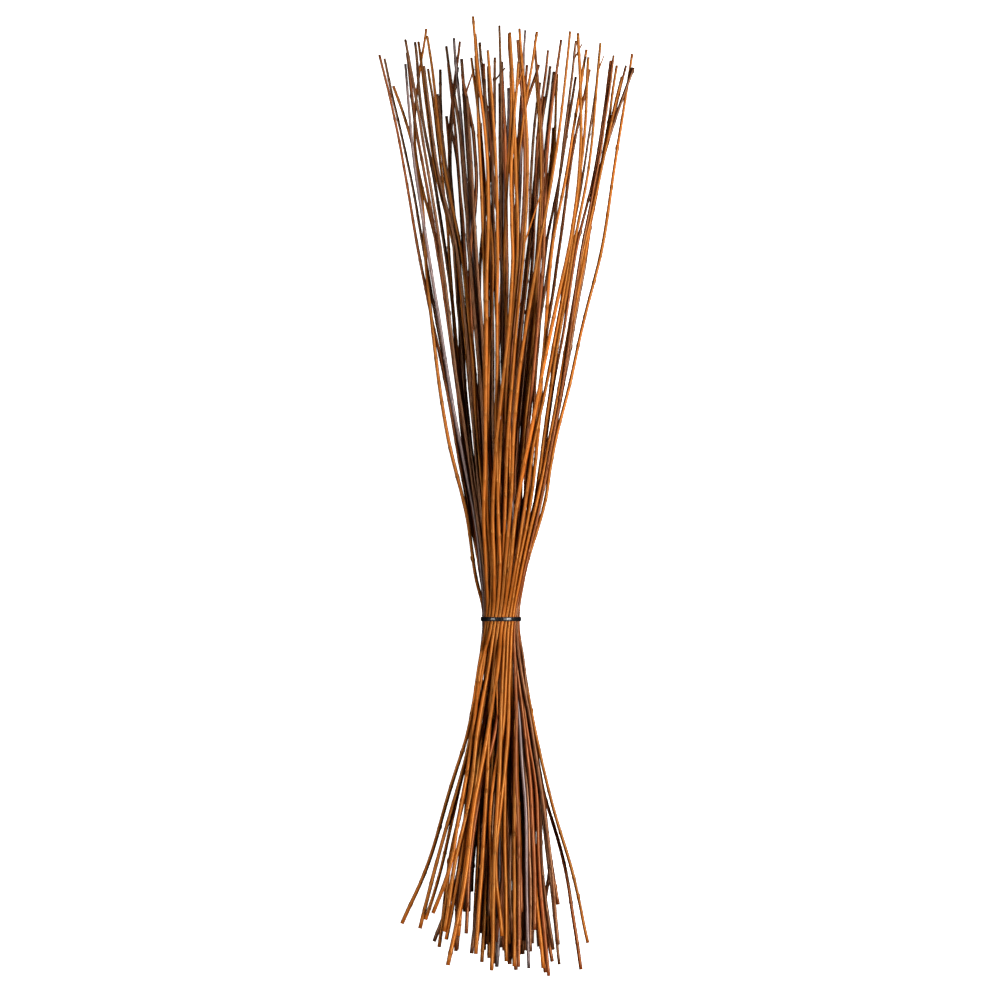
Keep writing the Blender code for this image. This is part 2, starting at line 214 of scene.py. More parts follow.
def linear(code):
    """An sRGB hex value as linear light."""
    channels = [int(code[i : i + 2], 16) / 255 for i in (1, 3, 5)]
    light = [c / 12.92 if c <= 0.04045 else ((c + 0.055) / 1.055) ** 2.4 for c in channels]
    return (*light, 1.0)


def paint(name, description, code):
    """A colour that a user can change."""
    return FloatVectorProperty(
        name=name, description=description, subtype="COLOR", size=4, min=0, max=1, default=linear(code)
    )


def length(name, description, default):
    """A length that a user can change."""
    return FloatProperty(name=name, description=description, default=default, unit="LENGTH")


class TwigShape(bpy.types.PropertyGroup):
    """Sizes of one twig's surface."""

    sides: IntProperty(name="Sides", description="Flat faces around a twig", default=12, min=5, max=24)
    ring_step: length("Ring step", "Length between a twig's rings", 9 * MM)
    wander: length("Wander", "How far a twig strays from a smooth bow", 0.8 * MM)
    kink: length("Kink", "How far a twig turns aside at its nodes", 0.3 * MM)
    node_step: length("Node step", "Usual length between nodes", 38 * MM)
    node_length: length("Node length", "Length of the swelling at a node", 1.9 * MM)
    swelling: FloatProperty(
        name="Swelling", description="How much thicker a node is", default=0.12, subtype="FACTOR"
    )
    bud_share: FloatProperty(
        name="Buds left", description="Share of the nodes that still have their bud", default=0.25,
        subtype="FACTOR",
    )
    bud_length: FloatProperty(
        name="Bud length", description="Half a bud's length, beside its twig's radius", default=1.3, min=0.1
    )
    dark_tip: length("Dark tip", "Length of the darker bark at a tip", 7 * MM)


class InnerTwigs(bpy.types.PropertyGroup):
    """The twigs inside the bundle, which no solid stands for."""

    seed: IntProperty(name="Seed", description="Changes how the inner twigs lie", default=11)
    thickness: length("Thickness", "Usual thickness of an inner twig", 3.9 * MM)
    stray: length("Stray", "How far an inner twig lies from the lane that it follows", 4 * MM)
    gap: length("Gap", "Least room between two twigs", 0.15 * MM)


class BarkFinish(bpy.types.PropertyGroup):
    """Colours of the bark and the cut wood."""

    amber: paint("Amber", "Orange-brown bark", "#763A0B")
    russet: paint("Russet", "Red-brown bark", "#602A0E")
    umber: paint("Umber", "Dark bark", "#42200D")
    ash: paint("Ash", "Greyish bark", "#463633")
    wood: paint("Cut wood", "Wood at a cut end", "#9A7450")
    rind: paint("Cut rim", "Bark's edge and pith at a cut end", "#3A2014")


class TieFinish(bpy.types.PropertyGroup):
    """The cable tie."""

    nylon: paint("Nylon", "Colour of the tie", "#0D1014")
    width: length("Width", "Width of the band", 4.8 * MM)
    thickness: length("Thickness", "Thickness of the band", 1.2 * MM)
    head_length: length("Head length", "Length of the ratchet head", 8 * MM)
    head_width: length("Head width", "Width of the ratchet head", 7 * MM)
    head_depth: length("Head depth", "Depth of the ratchet head", 5 * MM)
    tail: length("Tail", "Length of the cut tail beyond the head", 5 * MM)
    tooth: length("Tooth", "Spacing of the tail's teeth", 1 * MM)
    turn: FloatProperty(
        name="Turn", description="How far the head sits from straight below", default=12 * pi / 180,
        subtype="ANGLE",
    )


class StageLook(bpy.types.PropertyGroup):
    """Floor, light and camera."""

    floor: paint("Floor", "Colour of the floor", "#F6F5F3")
    glow: FloatProperty(
        name="Glow", description="Light that comes up through the floor", default=1.1, min=0
    )
    sky: FloatProperty(name="Sky", description="Strength of the light from all round", default=0.05, min=0)
    main: FloatProperty(name="Main", description="Power of the right softbox", default=250.0, unit="POWER")
    fill: FloatProperty(name="Fill", description="Power of the left softbox", default=75.0, unit="POWER")
    main_tilt: FloatProperty(
        name="Main tilt", description="How far the right softbox hangs from straight above",
        default=38 * pi / 180, subtype="ANGLE",
    )
    fill_tilt: FloatProperty(
        name="Fill tilt", description="How far the left softbox hangs from straight above",
        default=44 * pi / 180, subtype="ANGLE",
    )
    lens: FloatProperty(name="Lens", description="Focal length in millimetres", default=450.0, min=20)
    view_width: length("View width", "Width that the picture takes in", 1.15)


def smooth_through(known_at, known, wanted_at):
    """Values of a smooth curve through the known ones, whose slope at each is that of its neighbours."""
    slope = np.gradient(known, known_at)
    left = np.clip(np.searchsorted(known_at, wanted_at, side="right") - 1, 0, len(known) - 2)
    span = known_at[left + 1] - known_at[left]
    part = (wanted_at - known_at[left]) / span
    rise = part * part * (3 - 2 * part)
    return (
        known[left] * (1 - rise)
        + known[left + 1] * rise
        + slope[left] * span * part * (1 - part) ** 2
        - slope[left + 1] * span * part**2 * (1 - part)
    )


def solid_line(node):
    """A solid twig's middle line and radius, one row for each ring of its tube."""
    corners = np.empty(len(node.data.vertices) * 3)
    node.data.vertices.foreach_get("co", corners)
    corners = np.unique(corners.reshape(-1, 3).round(6), axis=0)
    corners = corners[np.argsort(corners[:, 1])]
    rings = np.split(corners, np.flatnonzero(np.diff(corners[:, 1]) > RINGS_APART) + 1)
    middles = np.array([ring.mean(axis=0) for ring in rings])
    radius = [np.linalg.norm(ring - middle, axis=1).mean() for ring, middle in zip(rings, middles)]
    return Line(middles[:, 1], middles[:, 0], middles[:, 2], np.array(radius))


def at(line, along):
    """A line's across, up and radius at other places along it, beyond whose ends they are not a number."""
    inside = (along >= line.along[0]) & (along <= line.along[-1])
    reach = np.clip(along, line.along[0], line.along[-1])
    found = [smooth_through(line.along, row, reach) for row in (line.across, line.up)]
    found.append(np.interp(reach, line.along, line.radius))
    return [np.where(inside, row, np.nan) for row in found]


def wavering(line, shape, rng):
    """A twig's line with the slow wander and the slight turns at its nodes that a grown twig has."""
    low, high = line.along[0], line.along[-1]
    along = np.append(np.arange(low, high - STATION / 2, STATION), high)
    across, up, radius = at(line, along)
    free = np.clip((np.abs(along - TIE.y) - HELD) / WANDERS_BEYOND, 0, 1)
    free *= np.clip(np.minimum(along - low, high - along) / STEADY_END, 0.1, 1)
    slow = np.linspace(low, high, int((high - low) / WANDER_STEP) + 2)
    steps = rng.uniform(0.6, 1.6, int((high - low) / shape.node_step) + 2)
    nodes = np.cumsum(steps) * shape.node_step + low
    moved = []
    for row in (across, up):
        wander = smooth_through(slow, rng.normal(0, shape.wander, len(slow)), along)
        kinks = np.interp(along, nodes, rng.normal(0, shape.kink, len(nodes)))
        moved.append(row + free * (wander + kinks))
    return Line(along, moved[0], moved[1], radius)


def move_apart(loose, firm, gap, turns, give):
    """Push the loose twigs off one another and off the firm ones, mostly up or down."""
    every = [*loose, *firm]
    low = min(line.along[0] for line in every)
    high = max(line.along[-1] for line in every)
    along = np.arange(low, high, STATION)
    found = [np.array(at(line, along)) for line in every]
    start = np.array([rows[:2] for rows in found]).transpose(0, 2, 1)
    thick = np.array([rows[2] for rows in found])
    count = len(loose)
    first, second = np.nonzero(np.arange(count)[:, None] < np.arange(len(every))[None])
    both = np.isfinite(thick[first]) & np.isfinite(thick[second])
    need = np.where(both, thick[first] + thick[second] + gap, 0)
    firm_one = (second >= count)[:, None, None]
    held = np.abs(along - TIE.y) <= HELD + HELD_ROOM
    shift = np.zeros_like(start[:count])
    for _ in range(turns):
        where = start.copy()
        where[:count] += shift
        apart = np.nan_to_num(where[first] - where[second])
        distance = np.hypot(apart[..., 0], apart[..., 1])
        short = np.where(both, np.clip(need - distance, 0, None), 0)
        if short.max() < CLEAR:
            break
        push = apart * (SIDEWAYS, 1.0)
        push[..., 1] += LIFT * need * np.sign(apart[..., 1] + TINY)
        push *= (short / (np.hypot(push[..., 0], push[..., 1]) + TINY))[..., None]
        moves = np.zeros_like(start)
        np.add.at(moves, first, push * np.where(firm_one, FROM_FIRM, FROM_LOOSE))
        np.subtract.at(moves, second, push * np.where(firm_one, 0.0, FROM_LOOSE))
        shift += give * moves[:count]
        shift[:, 1:-1] += EVENING * (shift[:, :-2] + shift[:, 2:] - 2 * shift[:, 1:-1])
        shift[:, held] = 0
        floor = thick[:count] - start[:count, :, 1]
        shift[..., 1] = np.fmax(shift[..., 1], floor)
    moved = []
    for line, extra in zip(loose, shift):
        across, up = (np.interp(line.along, along, extra[:, k]) for k in (0, 1))
        moved.append(line._replace(across=line.across + across, up=line.up + up))
    return moved


def solid_names():
    """The names of the solid twigs, in order."""
    return sorted(name for name in frame["nodes"] if name.startswith("twig_"))


def outer_lines(shape, gap):
    """The lines of the twigs that solids stand for, wavering as grown ones do, and clear of one another."""
    lines = []
    for number, name in enumerate(solid_names(), start=1):
        rng = np.random.default_rng(500 + number)
        lines.append(wavering(solid_line(frame["nodes"][name]), shape, rng))
    return move_apart(lines, [], gap, turns=60, give=0.5)


def free_places(lines):
    """Places inside the tie that no solid twig takes, as x and z from its middle."""
    taken = [[np.interp(TIE.y, line.along, row) for row in (line.across, line.up)] for line in lines]
    taken = np.array(taken)
    free = []
    for ring in range(int(RIM / RING_STEP) + 1):
        radius = RIM - ring * RING_STEP
        count = max(1, int(2 * pi * radius / RING_STEP))
        for place in range(count):
            angle = 2 * pi * (place + 0.5 * ring) / count
            here = np.array((TIE.x + radius * cos(angle), TIE.z + radius * sin(angle)))
            if np.hypot(*(taken - here).T).min() > RING_STEP / 2:
                free.append(here - (TIE.x, TIE.z))
    return np.array(free)


def hosts_for(places, lines, distance, most):
    """For each place, the solid twig whose lane suits it at this distance from the tie, none too often."""
    lane = np.array([np.interp(TIE.y + distance, line.along, line.across) for line in lines]) - TIE.x
    wanted = places[:, 0] / RIM * np.interp(distance, HALF_WIDTH_AT, HALF_WIDTH) * LANES_SHARE
    used = np.zeros(len(lines))
    hosts = np.zeros(len(places), int)
    for place in np.argsort(-np.abs(wanted)):
        cost = np.abs(lane - wanted[place]) + LANE_USED * used**2
        cost[used >= most] = np.inf
        hosts[place] = np.argmin(cost)
        used[hosts[place]] += 1
    return hosts


def inner_start(place, top, bottom, rng, fill):
    """An inner twig's first line: by the lane of one solid twig to its tip, and of another to its butt."""
    low = bottom.along[0] + rng.uniform(*BUTT_SHORTER) * MM
    high = top.along[-1] - rng.uniform(*TIP_SHORTER) * MM
    along = np.arange(low, high, STATION)
    beyond = along - TIE.y
    lane = np.where(beyond > 0, np.interp(along, top.along, top.across), 0)
    lane = np.where(beyond <= 0, np.interp(along, bottom.along, bottom.across), lane)
    off = -np.sign(place[0]) * np.abs(rng.normal(0, fill.stray, 2))[(beyond > 0).astype(int)]
    leave = np.clip((np.abs(beyond) - HELD) / LEAVES_RING, 0, 1)
    leave = leave * leave * (3 - 2 * leave)
    turned = TWIST * np.clip(beyond / HELD, -1, 1)
    across = (TIE.x + place[0] + place[1] * turned) * (1 - leave) + (lane + off) * leave
    level = place[1] / np.sqrt(RIM**2 * 1.02 - place[0] ** 2)
    half_width = np.interp(beyond, HALF_WIDTH_AT, HALF_WIDTH)
    rise = np.where(beyond > 0, TIP_RISE, BUTT_RISE)
    full = np.where(beyond > 0, HALF_WIDTH[-2], HALF_WIDTH[0])
    half_height = RIM + (rise - RIM) * (half_width - RIM) / (full - RIM)
    room = np.sqrt(np.clip(1 - ((across - TIE.x) / half_width) ** 2, LEAST_ROOM, 1))
    radius = fill.thickness / 2 * rng.uniform(0.9, 1.1) * np.interp(beyond, TAPER_AT, TAPER)
    radius = np.where(np.abs(beyond) < PRESSED_WITHIN, np.minimum(radius, PRESSED_RADIUS), radius)
    raised = TIE.z + level * half_height * room - radius
    up = radius + FLOOR_SOFTNESS * np.logaddexp(0, raised / FLOOR_SOFTNESS)
    up = np.where(np.abs(beyond) <= HELD, TIE.z + place[1] - place[0] * turned, up)
    return Line(along, across, up, radius)


def twig_rings(line, shape, rng, knots=()):
    """Rows of x, y, z, radius, nearness to a node, bud and its turn for a twig's rings."""
    low, high = line.along[0], line.along[-1]
    steps = rng.uniform(*NODE_SPACING, int((high - low) / shape.node_step * 2)) * shape.node_step
    nodes = low + np.cumsum(steps) - 0.5 * shape.node_step
    nodes = nodes[(nodes > low + 5 * MM) & (nodes < high - 4 * MM)]
    strong = np.isin(np.arange(len(nodes)), rng.integers(0, len(nodes), STRONG_NODES)) * STRONG_NODE
    for knot in knots:
        nodes = np.append(nodes, TIE.y + knot * MM)
        strong = np.append(strong, KNOT)
    beside = (nodes[:, None] + shape.node_length * np.array((-1.3, -0.6, 0, 0.6, 1.3))).ravel()
    plain = np.arange(low + shape.ring_step, high, shape.ring_step)
    plain = plain[np.abs(plain[:, None] - nodes).min(axis=1) > 1.6 * shape.node_length + 1 * MM]
    ends = [low, low + CUT_RIM, high - CUT_RIM, high]
    along = np.unique(np.concatenate([ends, beside, plain]).round(7))
    along = np.clip(along, low, high)
    across, up, radius = at(line, along)
    near = (np.exp(-(((along[:, None] - nodes) / shape.node_length) ** 2)) * (1 + strong)).sum(axis=1)
    free = np.clip(np.abs(along - TIE.y) / (60 * MM), 0.12, 1)
    uneven_at = np.linspace(low, high, int((high - low) / UNEVEN_STEP) + 2)
    uneven = smooth_through(uneven_at, rng.normal(0, UNEVEN, len(uneven_at)), along)
    radius = radius * (1 + shape.swelling * near * free + uneven * free)
    radius[[0, -1]] *= CUT_RADIUS
    across = np.clip(across, CAD_BOX[0][0] + radius, CAD_BOX[1][0] - radius)
    up = np.clip(up, BUD_ROOM * radius, CAD_BOX[1][2] - BUD_ROOM * radius)
    is_node = np.isin(along, nodes.round(7))
    bud = is_node & ((rng.random(len(along)) < shape.bud_share) | (near > KEEPS_BUD)) & (free > 0.9)
    turn = np.cumsum(is_node) * BUD_TURN + rng.uniform(0, 2 * pi)
    dark = near + 1.5 * np.exp(-(((high - along) / shape.dark_tip) ** 2))
    return np.stack([across, along, up, radius, dark, bud, turn], axis=1)


def shoot_rings(line, shoot):
    """Rings of a side shoot, from inside its twig to its end, thinner to the end."""
    _, start_y, end, thickness = shoot
    leave = TIE.y + start_y * MM
    across, up, radius = (float(row[0]) for row in at(line, np.array([leave])))
    root = np.array((across, leave, up))
    tip = np.array((TIE.x + end[0] * MM, TIE.y + end[1] * MM, up + 0.8 * radius))
    part = np.array(SHOOT_AT)[:, None]
    bow = np.array((0, 0, 1.0)) * SHOOT_BOW * np.linalg.norm(tip - root) * np.sin(pi * part)
    places = root + (tip - root) * part + bow
    size = thickness * MM / 2 * np.array(SHOOT_THICK)
    dark = np.array(SHOOT_DARK)
    rest = np.zeros((len(places), 2))
    return np.concatenate([places, size[:, None], dark[:, None], rest], axis=1)


def add_node(tree, kind, inputs=None, **settings):
    """Add one node with its settings, and a value or a link for each input that is given."""
    node = tree.nodes.new(kind)
    for name, value in settings.items():
        setattr(node, name, value)
    for key, value in (inputs or {}).items():
        if isinstance(value, bpy.types.NodeSocket):
            tree.links.new(value, node.inputs[key])
        else:
            node.inputs[key].default_value = value
    return node


def twig_tree():
    """A tube along each line of a mesh, its ends cut, with a bud at each ring that is marked for one."""
    tree = bpy.data.node_groups.new("Twig along its line", "GeometryNodeTree")
    for name, kind in (("Line", "Geometry"), ("Sides", "Int"), ("Bud length", "Float"),
                       ("Bark", "Material"), ("Cut wood", "Material")):
        tree.interface.new_socket(name, in_out="INPUT", socket_type="NodeSocket" + kind)
    tree.interface.new_socket("Twig", in_out="OUTPUT", socket_type="NodeSocketGeometry")
    given = add_node(tree, "NodeGroupInput").outputs
    kept = {}
    for name, kind in (("thick", "FLOAT"), ("turn", "FLOAT"), ("bud", "FLOAT"), ("offset", "FLOAT"),
                       ("along", "FLOAT"), ("local", "FLOAT_VECTOR")):
        read = add_node(tree, "GeometryNodeInputNamedAttribute", {"Name": name}, data_type=kind)
        kept[name] = read.outputs["Attribute"]

    # The tube: a unit ring swept along the line and scaled to the twig's thickness
    number = {"data_type": "FLOAT", "domain": "POINT"}
    vector = {"data_type": "FLOAT_VECTOR", "domain": "POINT"}
    line = add_node(tree, "GeometryNodeMeshToCurve", {"Mesh": given["Line"]}).outputs["Curve"]
    spot = add_node(tree, "GeometryNodeSplineParameter").outputs
    inputs = {"Geometry": line, "Name": "along", "Value": spot["Length"]}
    line = add_node(tree, "GeometryNodeStoreNamedAttribute", inputs, **number).outputs[0]
    inputs = {"Resolution": given["Sides"], "Radius": 1.0}
    ring = add_node(tree, "GeometryNodeCurvePrimitiveCircle", inputs).outputs["Curve"]
    place = add_node(tree, "GeometryNodeInputPosition").outputs["Position"]
    inputs = {"Geometry": ring, "Name": "local", "Value": place}
    ring = add_node(tree, "GeometryNodeStoreNamedAttribute", inputs, **vector).outputs[0]
    inputs = {"Curve": line, "Profile Curve": ring, "Scale": kept["thick"], "Fill Caps": True}
    tube = add_node(tree, "GeometryNodeCurveToMesh", inputs).outputs["Mesh"]
    corners = add_node(tree, "GeometryNodeInputMeshFaceNeighbors").outputs["Vertex Count"]
    inputs = {2: corners, 3: 4}
    cut = add_node(tree, "FunctionNodeCompare", inputs, data_type="INT", operation="GREATER_THAN")
    cut = cut.outputs["Result"]
    tube = add_node(tree, "GeometryNodeSetShadeSmooth", {"Geometry": tube}, domain="FACE").outputs[0]
    inputs = {"Geometry": tube, "Selection": cut, "Shade Smooth": False}
    tube = add_node(tree, "GeometryNodeSetShadeSmooth", inputs, domain="FACE").outputs[0]

    # The buds: one small ball, drawn out along the twig, set on the twig's side at each marked ring
    inputs = {"Segments": 8, "Rings": 6, "Radius": 1.0}
    ball = add_node(tree, "GeometryNodeMeshUVSphere", inputs).outputs["Mesh"]
    inputs = {"X": 0.4, "Y": 0.5, "Z": given["Bud length"]}
    size = add_node(tree, "ShaderNodeCombineXYZ", inputs).outputs["Vector"]
    inputs = {"Geometry": ball, "Translation": (0.84, 0.0, 0.7), "Scale": size}
    bud = add_node(tree, "GeometryNodeTransform", inputs).outputs["Geometry"]
    inputs = {"Geometry": bud, "Name": "local", "Value": place}
    bud = add_node(tree, "GeometryNodeStoreNamedAttribute", inputs, **vector).outputs[0]
    bud = add_node(tree, "GeometryNodeSetShadeSmooth", {"Geometry": bud}, domain="FACE").outputs[0]
    tangent = add_node(tree, "GeometryNodeInputTangent").outputs["Tangent"]
    inputs = {"Vector": tangent}
    lengthwise = add_node(tree, "FunctionNodeAlignRotationToVector", inputs, axis="Z").outputs[0]
    inputs = {"Axis": (0.0, 0.0, 1.0), "Angle": kept["turn"]}
    spin = add_node(tree, "FunctionNodeAxisAngleToRotation", inputs).outputs[0]
    inputs = {"Rotation": lengthwise, "Rotate By": spin}
    facing = add_node(tree, "FunctionNodeRotateRotation", inputs, rotation_space="LOCAL").outputs[0]
    inputs = {0: kept["bud"], 1: 0.5}
    marked = add_node(tree, "FunctionNodeCompare", inputs, data_type="FLOAT", operation="GREATER_THAN")
    inputs = {"Points": line, "Selection": marked.outputs[0], "Instance": bud, "Rotation": facing,
              "Scale": kept["thick"]}
    buds = add_node(tree, "GeometryNodeInstanceOnPoints", inputs).outputs["Instances"]

    # Both together, each point with its place in the bark's grain: across, across and along
    both = add_node(tree, "GeometryNodeJoinGeometry", {0: tube})
    tree.links.new(buds, both.inputs[0])
    whole = add_node(tree, "GeometryNodeRealizeInstances", {"Geometry": both.outputs[0]}).outputs[0]
    inputs = {0: kept["local"], "Scale": kept["thick"]}
    grain = add_node(tree, "ShaderNodeVectorMath", inputs, operation="SCALE").outputs["Vector"]
    inputs = {0: kept["along"], 1: kept["offset"]}
    down = add_node(tree, "ShaderNodeMath", inputs, operation="ADD").outputs[0]
    down = add_node(tree, "ShaderNodeCombineXYZ", {"Z": down}).outputs["Vector"]
    grain = add_node(tree, "ShaderNodeVectorMath", {0: grain, 1: down}, operation="ADD").outputs["Vector"]
    inputs = {"Geometry": whole, "Name": "grain", "Value": grain}
    whole = add_node(tree, "GeometryNodeStoreNamedAttribute", inputs, **vector).outputs[0]
    inputs = {"Geometry": whole, "Material": given["Bark"]}
    whole = add_node(tree, "GeometryNodeSetMaterial", inputs).outputs["Geometry"]
    inputs = {"Geometry": whole, "Selection": cut, "Material": given["Cut wood"]}
    whole = add_node(tree, "GeometryNodeSetMaterial", inputs).outputs["Geometry"]
    add_node(tree, "NodeGroupOutput", {"Twig": whole})
    return tree


def socket_named(tree, name):
    """The identifier of a tree's input, by which a modifier's value is set."""
    return next(item.identifier for item in tree.interface.items_tree if item.name == name)


def line_mesh(name, chains, tone, offset):
    """A mesh of loose edges, one chain for a twig and one for each side shoot, with what its tree reads."""
    rows = np.concatenate(chains)
    edges = []
    start = 0
    for chain in chains:
        edges += [(i, i + 1) for i in range(start, start + len(chain) - 1)]
        start += len(chain)
    mesh = bpy.data.meshes.new(name)
    mesh.from_pydata(rows[:, :3].tolist(), edges, [])
    values = {"thick": rows[:, 3], "node": rows[:, 4], "bud": rows[:, 5], "turn": rows[:, 6]}
    values["tone"] = np.full(len(rows), tone)
    values["offset"] = np.full(len(rows), offset)
    for key, column in values.items():
        mesh.attributes.new(key, "FLOAT", "POINT").data.foreach_set("value", column.astype(np.float32))
    return mesh


def add_twig(name, chains, look, offset, tree, shape):
    """One twig as a plain mesh, from its lines."""
    lines = line_mesh(name + " lines", chains, look.tone, offset)
    maker = bpy.data.objects.new(name + " lines", lines)
    bpy.context.scene.collection.objects.link(maker)
    grow = maker.modifiers.new("twig along its line", "NODES")
    grow.node_group = tree
    grow[socket_named(tree, "Sides")] = shape.sides
    grow[socket_named(tree, "Bud length")] = shape.bud_length
    grow[socket_named(tree, "Bark")] = bark(look.bark)
    grow[socket_named(tree, "Cut wood")] = cut_wood()
    graph = bpy.context.evaluated_depsgraph_get()
    mesh = bpy.data.meshes.new_from_object(
        maker.evaluated_get(graph), preserve_all_data_layers=True, depsgraph=graph
    )
    mesh.name = name
    bpy.data.objects.remove(maker)
    bpy.data.meshes.remove(lines)
    strip_map(mesh, 10)
    for spare in ("thick", "bud", "turn", "offset", "local", "along"):
        mesh.attributes.remove(mesh.attributes[spare])
    twig = bpy.data.objects.new(name, mesh)
    bpy.context.scene.collection.objects.link(twig)
    return twig


def strip_map(mesh, strips):
    """A UV map for baking, with the tube's length cut in equal strips that lie side by side."""
    along = np.empty(len(mesh.vertices))
    local = np.empty(len(mesh.vertices) * 3)
    mesh.attributes["along"].data.foreach_get("value", along)
    mesh.attributes["local"].data.foreach_get("vector", local)
    local = local.reshape(-1, 3)
    around = np.arctan2(local[:, 1], local[:, 0]) / (2 * pi) % 1
    corner = np.empty(len(mesh.loops), int)
    mesh.loops.foreach_get("vertex_index", corner)
    count = np.empty(len(mesh.polygons), int)
    mesh.polygons.foreach_get("loop_total", count)
    face = np.repeat(np.arange(len(count)), count)
    first = np.concatenate([[0], np.cumsum(count)[:-1]])
    u, v = along[corner], around[corner]
    wraps = (np.maximum.reduceat(v, first) - np.minimum.reduceat(v, first))[face] > 0.5
    v = np.where(wraps & (v < 0.25), v + 1, v)
    length = along.max() / strips
    middle = np.add.reduceat(u, first) / count
    strip = np.clip((middle / length).astype(int), 0, strips - 1)[face]
    u = (u - strip * length) / length
    places = np.stack([0.02 + 0.95 * u, (strip + 0.04 + 0.9 * v) / strips], axis=1).astype(np.float32)
    mesh.uv_layers.new(name="OFBake", do_init=False).uv.foreach_set("vector", places.ravel())


def material(name, roughness):
    """A new material with its tree and shader."""
    made = bpy.data.materials.new(name)
    made.use_nodes = True
    shader = made.node_tree.nodes["Principled BSDF"]
    shader.inputs["Roughness"].default_value = roughness
    return made, made.node_tree, shader


def bark(kind):
    """Willow bark that has been steamed and dried.

    It is smooth and satin, drawn out in fine fibres along the twig, darker and duller at each node, with
    pale dots where the bark breathed. Its wax gives a soft golden gleam rather than a white one.
    """
    name = "steamed willow bark " + kind
    if name in bpy.data.materials:
        return bpy.data.materials[name]
    main = getattr(bpy.context.scene.bark_finish, kind)
    made, tree, shader = material(name, 0.46)
    shader.inputs["Specular IOR Level"].default_value = 0.75
    shader.inputs["Specular Tint"].default_value = [(value / main[0]) ** 0.5 for value in main[:3]] + [1.0]
    grain = add_node(tree, "ShaderNodeAttribute", attribute_name="grain").outputs["Vector"]
    light = add_node(tree, "ShaderNodeAttribute", attribute_name="tone").outputs["Fac"]
    node = add_node(tree, "ShaderNodeAttribute", attribute_name="node").outputs["Fac"]

    # Three scales of streak and one of fine pores, each as width and length in millimetres
    streaks = {}
    for streak, (across, along, detail) in {
        "fibres": (0.5, 18, 3), "patches": (2.6, 60, 2), "lengths": (9, 200, 1), "pores": (1.2, 3, 2)
    }.items():
        scale = (1 / (across * MM), 1 / (across * MM), 1 / (along * MM))
        drawn = add_node(tree, "ShaderNodeMapping", {"Vector": grain, "Scale": scale}).outputs["Vector"]
        inputs = {"Vector": drawn, "Scale": 1.0, "Detail": detail, "Roughness": 0.55}
        streaks[streak] = add_node(tree, "ShaderNodeTexNoise", inputs).outputs["Fac"]
    for streak, most in (("fibres", 0.45), ("patches", 0.5), ("lengths", 0.45)):
        inputs = {"Value": streaks[streak], "From Min": 0.3, "From Max": 0.7}
        inputs |= {"To Min": -most, "To Max": most}
        change = add_node(tree, "ShaderNodeMapRange", inputs).outputs["Result"]
        light = add_node(tree, "ShaderNodeMath", {0: light, 1: change}, operation="ADD").outputs[0]
    inputs = {0: node, 1: -0.4, 2: light}
    light = add_node(tree, "ShaderNodeMath", inputs, operation="MULTIPLY_ADD").outputs[0]
    light = add_node(tree, "ShaderNodeMath", {0: 2.0, 1: light}, operation="POWER").outputs[0]

    deep = [main[0] * 0.6, main[1] * 0.42, main[2] * 0.4, 1.0]
    inputs = {"Value": streaks["patches"], "From Min": 0.4, "From Max": 0.66, "To Min": 0.0, "To Max": 0.6}
    share = add_node(tree, "ShaderNodeMapRange", inputs).outputs["Result"]
    body = add_node(tree, "ShaderNodeMix", {0: share, 6: list(main), 7: deep}, data_type="RGBA").outputs[2]
    warm = [min(1.0, main[0] * 1.3), main[1] * 1.4, main[2] * 1.2, 1.0]
    inputs = {"Value": streaks["fibres"], "From Min": 0.52, "From Max": 0.78, "To Min": 0.0, "To Max": 0.6}
    share = add_node(tree, "ShaderNodeMapRange", inputs).outputs["Result"]
    body = add_node(tree, "ShaderNodeMix", {0: share, 6: body, 7: warm}, data_type="RGBA").outputs[2]

    scale = (1 / (1.1 * MM), 1 / (1.1 * MM), 1 / (2.4 * MM))
    drawn = add_node(tree, "ShaderNodeMapping", {"Vector": grain, "Scale": scale}).outputs["Vector"]
    cells = add_node(tree, "ShaderNodeTexVoronoi", {"Vector": drawn, "Scale": 1.0}, feature="F1").outputs
    inputs = {"Value": cells["Distance"], "From Min": 0.12, "From Max": 0.26, "To Min": 1.0, "To Max": 0.0}
    dots = add_node(tree, "ShaderNodeMapRange", inputs).outputs["Result"]
    chance = add_node(tree, "ShaderNodeSeparateColor", {"Color": cells["Color"]}).outputs["Red"]
    dots = add_node(tree, "ShaderNodeMath", {0: dots, 1: chance}, operation="MULTIPLY").outputs[0]
    inputs = {"Value": dots, "From Min": 0.62, "From Max": 0.8, "To Min": 0.0, "To Max": 0.5}
    dots = add_node(tree, "ShaderNodeMapRange", inputs).outputs["Result"]
    pale = [min(1.0, main[0] * 1.9 + 0.05), main[1] * 2.0 + 0.04, main[2] * 2.0 + 0.03, 1.0]
    body = add_node(tree, "ShaderNodeMix", {0: dots, 6: body, 7: pale}, data_type="RGBA").outputs[2]
    inputs = {0: body, "Scale": light}
    body = add_node(tree, "ShaderNodeVectorMath", inputs, operation="SCALE").outputs["Vector"]
    tree.links.new(body, shader.inputs["Base Color"])

    inputs = {"Value": streaks["fibres"], "From Min": 0.3, "From Max": 0.7, "To Min": 0.34, "To Max": 0.45}
    rough = add_node(tree, "ShaderNodeMapRange", inputs).outputs["Result"]
    tree.links.new(rough, shader.inputs["Roughness"])
    inputs = {0: streaks["pores"], 1: 0.5, 2: streaks["fibres"]}
    height = add_node(tree, "ShaderNodeMath", inputs, operation="MULTIPLY_ADD").outputs[0]
    bump = add_node(tree, "ShaderNodeBump", {"Strength": 0.35, "Distance": 0.12 * MM, "Height": height})
    tree.links.new(bump.outputs["Normal"], shader.inputs["Normal"])
    return made


